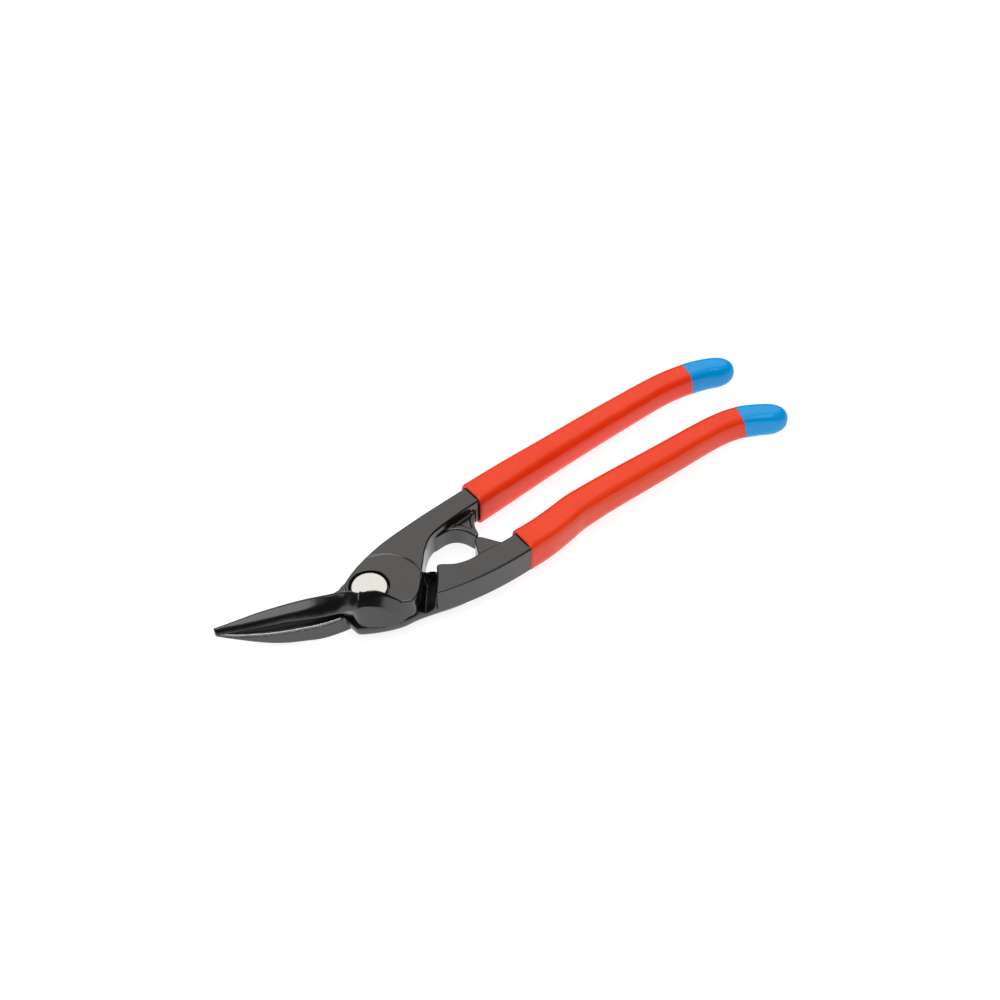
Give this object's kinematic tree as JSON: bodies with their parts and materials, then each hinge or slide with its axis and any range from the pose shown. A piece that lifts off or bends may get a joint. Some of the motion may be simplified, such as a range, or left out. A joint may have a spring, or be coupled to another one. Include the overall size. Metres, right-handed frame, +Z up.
{
  "type": "tin snips",
  "caption": "Forged single-pivot tin snips for straight and curved cuts, with a raised upper blade and smooth dipped two-colour handles.",
  "frame": {"origin": "bottom centre of the whole tool's box, closed and lying flat on its underside", "axes": "+Z up along the pivot axis direction, +X from the blade tips towards the handle ends, +Y towards the upper half's handle"},
  "size_m": [0.248, 0.0592, 0.0264],
  "materials": {
    "black_steel": "satin black coated forging with bright ground cutting edges",
    "plated_bolt": "fine turned, nickel plated",
    "spring_steel": "plain steel",
    "red_dip": "glossy dipped vinyl",
    "blue_dip": "glossy dipped vinyl"
  },
  "bodies": {
    "lower_half": {"lower_blade_half": "black_steel", "pivot_bolt": "plated_bolt", "spring_washer": "spring_steel", "pivot_nut": "spring_steel", "lower_handle_sleeve": "red_dip", "lower_sleeve_tip": "blue_dip"},
    "upper_half": {"upper_blade_half": "black_steel", "upper_handle_sleeve": "red_dip", "upper_sleeve_tip": "blue_dip"}
  },
  "joints": [
    {"name": "pivot", "type": "hinge", "parent": "lower_half", "child": "upper_half", "pos_m": [-0.06796, -0.01276, 0.0088], "axis": [0, 0, 1], "range_deg": [0, 28]}
  ]
}
